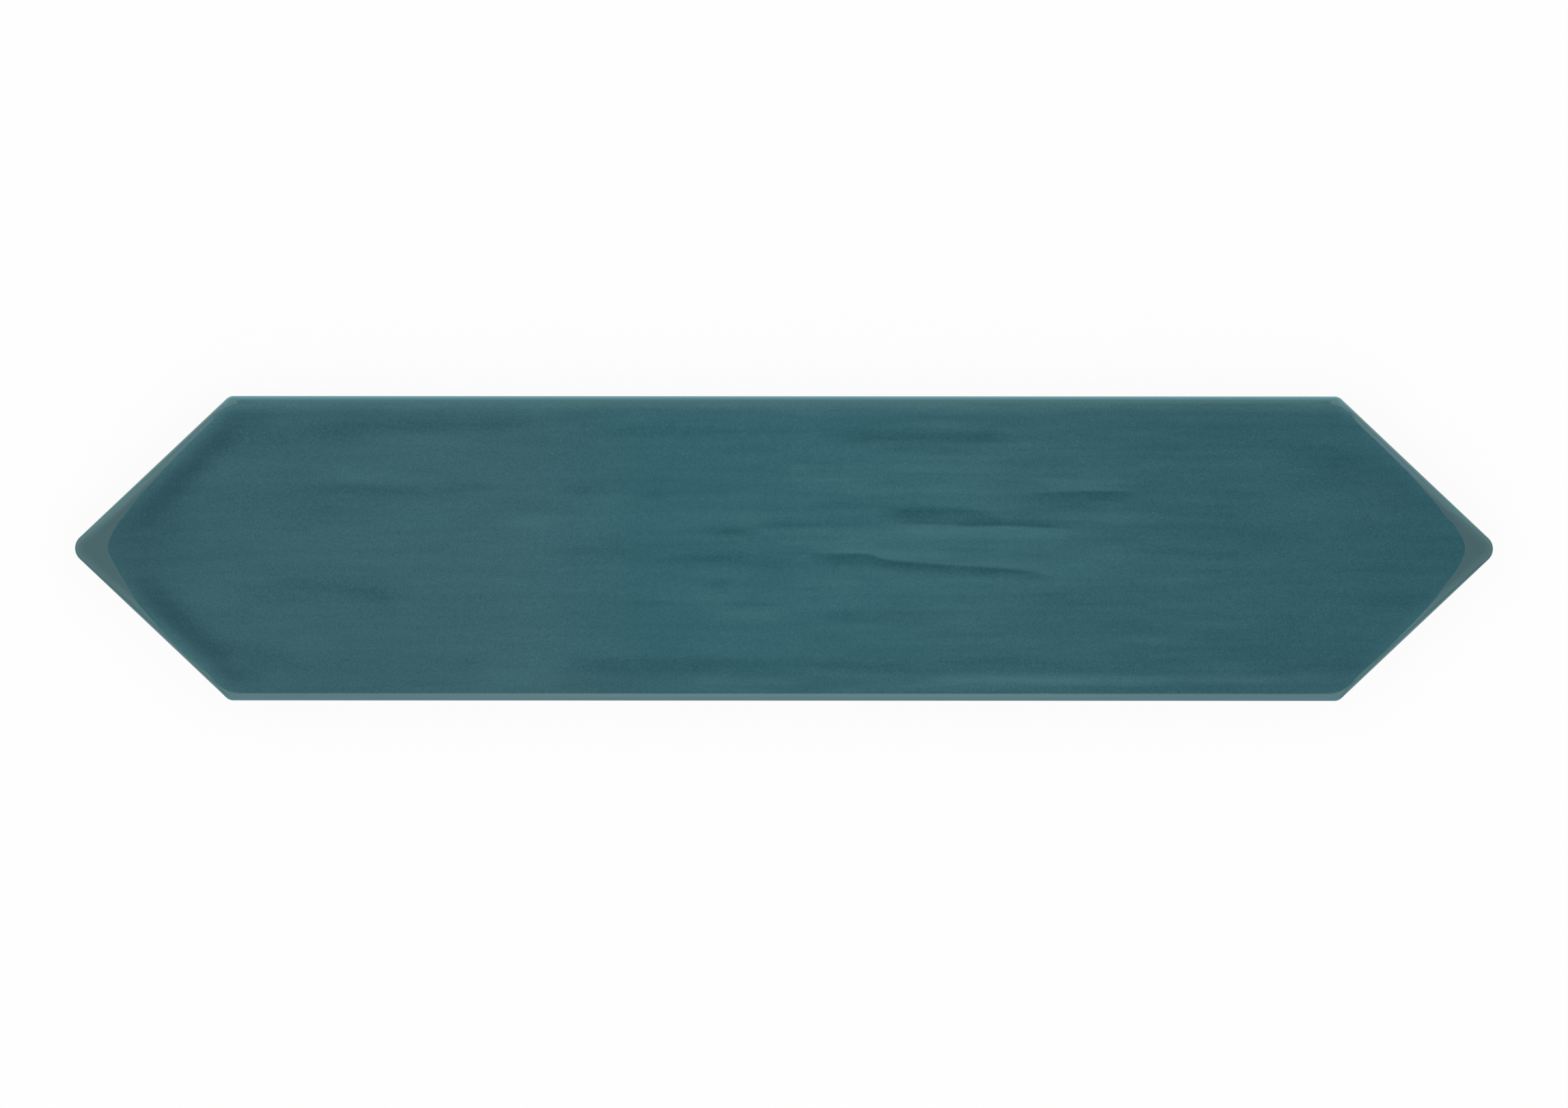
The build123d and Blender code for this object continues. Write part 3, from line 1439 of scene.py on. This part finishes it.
@dataclass(frozen=True)
class Studio:
    """White floor, a white tent with a dark gap overhead, and the camera looking down through it."""

    # the floor: its size in metres, its gap under the tile in millimetres
    floor_size: float = 8.0
    floor_gap: float = 0.05
    floor_white: float = 0.9
    floor_glow: float = 0.9
    # the tent: its gap as angles from straight up, in degrees
    tent_light: float = 1.35
    skirt_share: float = 0.3
    skirt_rise: Span = (0.28, 0.52)
    front_panel: Span = (0.74, 0.95)
    gap_light: float = 0.12
    gap_across: Span = (12.5, 9.0)
    gap_behind: Span = (80.0, 70.0)
    gap_before: Span = (-52.0, -44.0)
    # the camera: its lens in millimetres, its place in metres, its roll in degrees
    lens: float = 200.0
    view_depth: float = 100.0
    frame_width: float = 0.3345
    camera_height: float = 0.0069
    camera_y: float = -0.00118
    camera_roll: float = 0.03

    WHITE = (1.0, 1.0, 1.0, 1.0)
    LOWEST = 0.001

    def build(self) -> None:
        """Makes the floor, the light and the camera."""
        self._floor()
        self._tent()
        self._camera()
        bpy.context.scene.view_settings.view_transform = "Standard"

    def _floor(self) -> None:
        """Lays the floor just under the tile."""
        half = self.floor_size / 2
        corners = [(-half, -half), (half, -half), (half, half), (-half, half)]
        mesh = bpy.data.meshes.new("floor")
        mesh.from_pydata([(x, y, -self.floor_gap * MM) for x, y in corners], [], [(0, 1, 2, 3)])
        floor = bpy.data.objects.new("floor", mesh)
        bpy.context.scene.collection.objects.link(floor)
        made = bpy.data.materials.new("white_floor")
        made.use_nodes = True
        bench = NodeBench(made.node_tree)
        path = bench.add("ShaderNodeLightPath")
        seen = Value(bench, path.outputs["Is Camera Ray"])
        for ray in ("Is Glossy Ray", "Is Transmission Ray"):
            seen = seen.math("MAXIMUM", seen, Value(bench, path.outputs[ray]))
        grey = (self.floor_white, self.floor_white, self.floor_white, 1.0)
        paper = bench.value("ShaderNodeBsdfDiffuse", 0, None, {"Color": grey})
        glow = bench.value("ShaderNodeEmission", 0, None, {"Color": self.WHITE, "Strength": 1.0})
        mixed = {0: seen * self.floor_glow, 1: paper, 2: glow}
        shown = bench.value("ShaderNodeMixShader", 0, None, mixed)
        bench.add("ShaderNodeOutputMaterial", None, {"Surface": shown})
        mesh.materials.append(made)

    def _tent(self) -> None:
        """Lights everything from a white tent with a lit front, a dim skirt and a dark gap along y."""
        world = bpy.data.worlds.new("tent")
        world.use_nodes = True
        bench = NodeBench(world.node_tree)
        x, y, z = bench.axes(bench.value("ShaderNodeTexCoord", "Generated"))
        up = z.math("MAXIMUM", z, self.LOWEST)
        across = abs(x / up).ease(*self._slopes(self.gap_across))
        behind = (y / up).ease(*self._slopes(self.gap_behind))
        before = (y / up).ease(*self._slopes(self.gap_before))
        gap = across * behind * before
        ground = x.squared() + y.squared()
        front = (-y / ground.math("SQRT", ground)).ease(*self.front_panel)
        high = z.ease(*self.skirt_rise)
        lit = high.math("MAXIMUM", high, front)
        wall = self.tent_light * (lit * (1.0 - self.skirt_share) + self.skirt_share)
        light = wall + gap * (self.gap_light - wall)
        sky = bench.value("ShaderNodeBackground", 0, None, {"Color": self.WHITE, "Strength": light})
        bench.add("ShaderNodeOutputWorld", None, {"Surface": sky})
        bpy.context.scene.world = world

    @staticmethod
    def _slopes(angles: Span) -> Span:
        """Gives the tangents of two angles in degrees."""
        start, end = angles
        return math.tan(math.radians(start)), math.tan(math.radians(end))

    def _camera(self) -> None:
        """Hangs the camera straight above the tile."""
        lens = bpy.data.cameras.new("overhead")
        lens.lens = self.lens
        lens.clip_end = self.view_depth
        camera = bpy.data.objects.new("overhead", lens)
        distance = self.lens * self.frame_width / lens.sensor_width
        camera.location = (0.0, self.camera_y, self.camera_height + distance)
        camera.rotation_euler.z = math.radians(self.camera_roll)
        bpy.context.scene.collection.objects.link(camera)
        bpy.context.scene.camera = camera


def main() -> None:
    """Builds the tile and the studio round it."""
    logging.basicConfig(level=logging.INFO, format="%(message)s")
    low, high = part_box(TILE_NODE)
    size = (high - low) / MM
    outline = Picket(size.x, size.y, point_angle=86.8, tip_radius=3.2, shoulder_radius=2.3)
    tile = PicketTile(outline, thickness=size.z)
    piece = tile.build()
    log.info("%s: %d faces", piece.name, len(piece.data.polygons))
    Studio().build()
    log.info("studio: floor, tent and camera")


if __name__ == "__main__":
    main()
